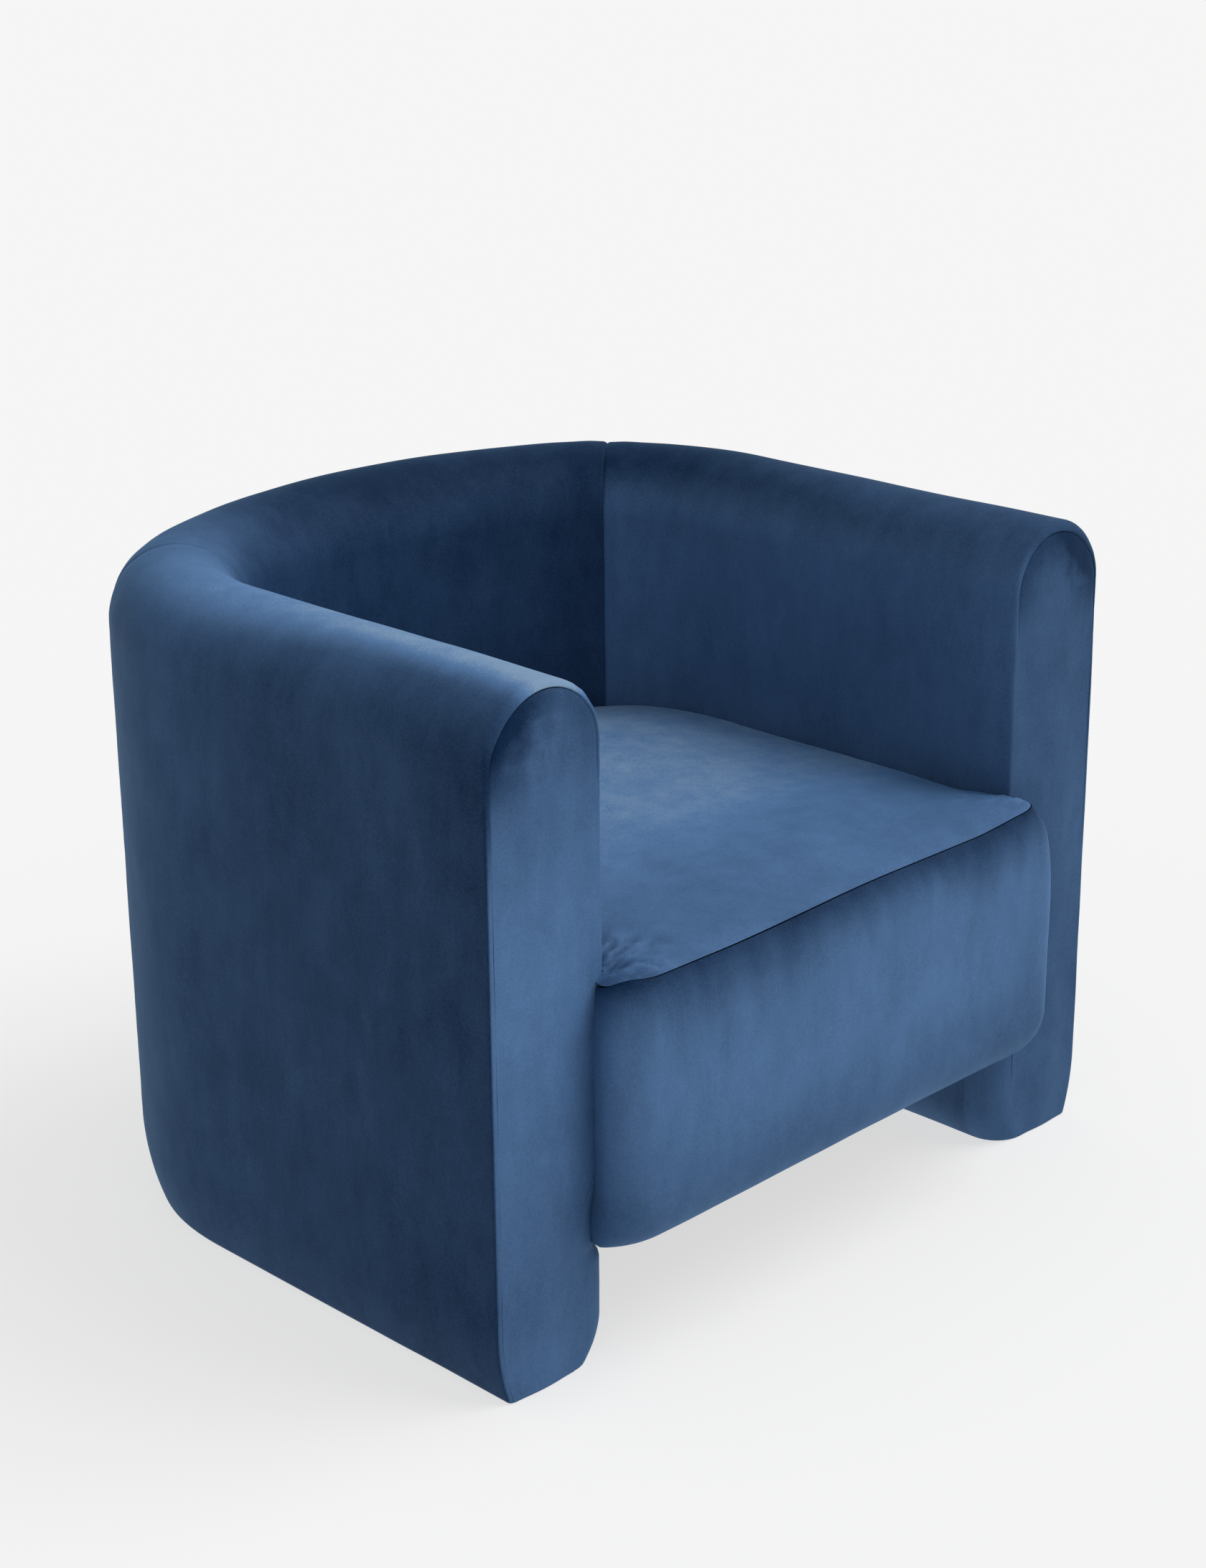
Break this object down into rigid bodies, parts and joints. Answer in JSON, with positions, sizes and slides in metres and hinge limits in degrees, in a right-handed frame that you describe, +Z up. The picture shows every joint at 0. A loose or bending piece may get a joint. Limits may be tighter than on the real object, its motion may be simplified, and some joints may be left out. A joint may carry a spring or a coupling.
{
  "type": "upholstered armchair",
  "caption": "Low barrel armchair in velvet: one rolled wall forms arms and back around a tight padded seat with a rounded nose.",
  "frame": {"origin": "middle of the footprint, on the floor", "axes": "+X across the chair, +Y from the seat front to the back, +Z up"},
  "size_m": [0.876, 0.832, 0.69],
  "materials": {
    "velvet": "short-pile navy velvet",
    "wadding": "polyester wadding",
    "foam": "upholstery foam",
    "lining": "woven black lining cloth",
    "plywood": "raw plywood",
    "timber": "raw hardwood",
    "spring_steel": "drawn wire",
    "glide": "moulded nylon"
  },
  "bodies": {
    "root": {"base_plate_back": "plywood", "base_plate_left": "plywood", "base_plate_right": "plywood", "corner_block_front_left": "timber", "corner_block_front_right": "timber", "corner_block_rear_left": "timber", "corner_block_rear_right": "timber", "deck_cloth": "lining", "dust_cloth_back": "lining", "dust_cloth_left": "lining", "dust_cloth_right": "lining", "front_board_left": "plywood", "front_board_right": "plywood", "front_foam_left": "foam", "front_foam_right": "foam", "glides": "glide", "inner_foam_back": "foam", "inner_foam_left": "foam", "inner_foam_right": "foam", "inner_liner_back": "plywood", "inner_liner_left": "plywood", "inner_liner_right": "plywood", "nose_foam": "foam", "outer_liner_back": "plywood", "outer_liner_left": "plywood", "outer_liner_right": "plywood", "outer_wadding_back": "wadding", "outer_wadding_left": "wadding", "outer_wadding_right": "wadding", "rear_deck_board": "plywood", "roll_foam_back": "foam", "roll_foam_left": "foam", "roll_foam_right": "foam", "seat_dust_cloth": "lining", "seat_foam": "foam", "seat_front_board": "plywood", "seat_rail_left": "timber", "seat_rail_rear": "timber", "seat_rail_right": "timber", "seat_springs": "spring_steel", "seat_wadding": "wadding", "spring_cleat_left": "timber", "spring_cleat_right": "timber", "stud_arm_left": "timber", "stud_arm_right": "timber", "stud_back_left": "timber", "stud_back_right": "timber", "stud_corner_left": "timber", "stud_corner_right": "timber", "top_rail_back": "plywood", "top_rail_left": "plywood", "top_rail_right": "plywood", "velvet_back": "velvet", "velvet_front_left": "velvet", "velvet_front_right": "velvet", "velvet_left": "velvet", "velvet_nose": "velvet", "velvet_right": "velvet", "velvet_seat_top": "velvet"}
  },
  "joints": []
}
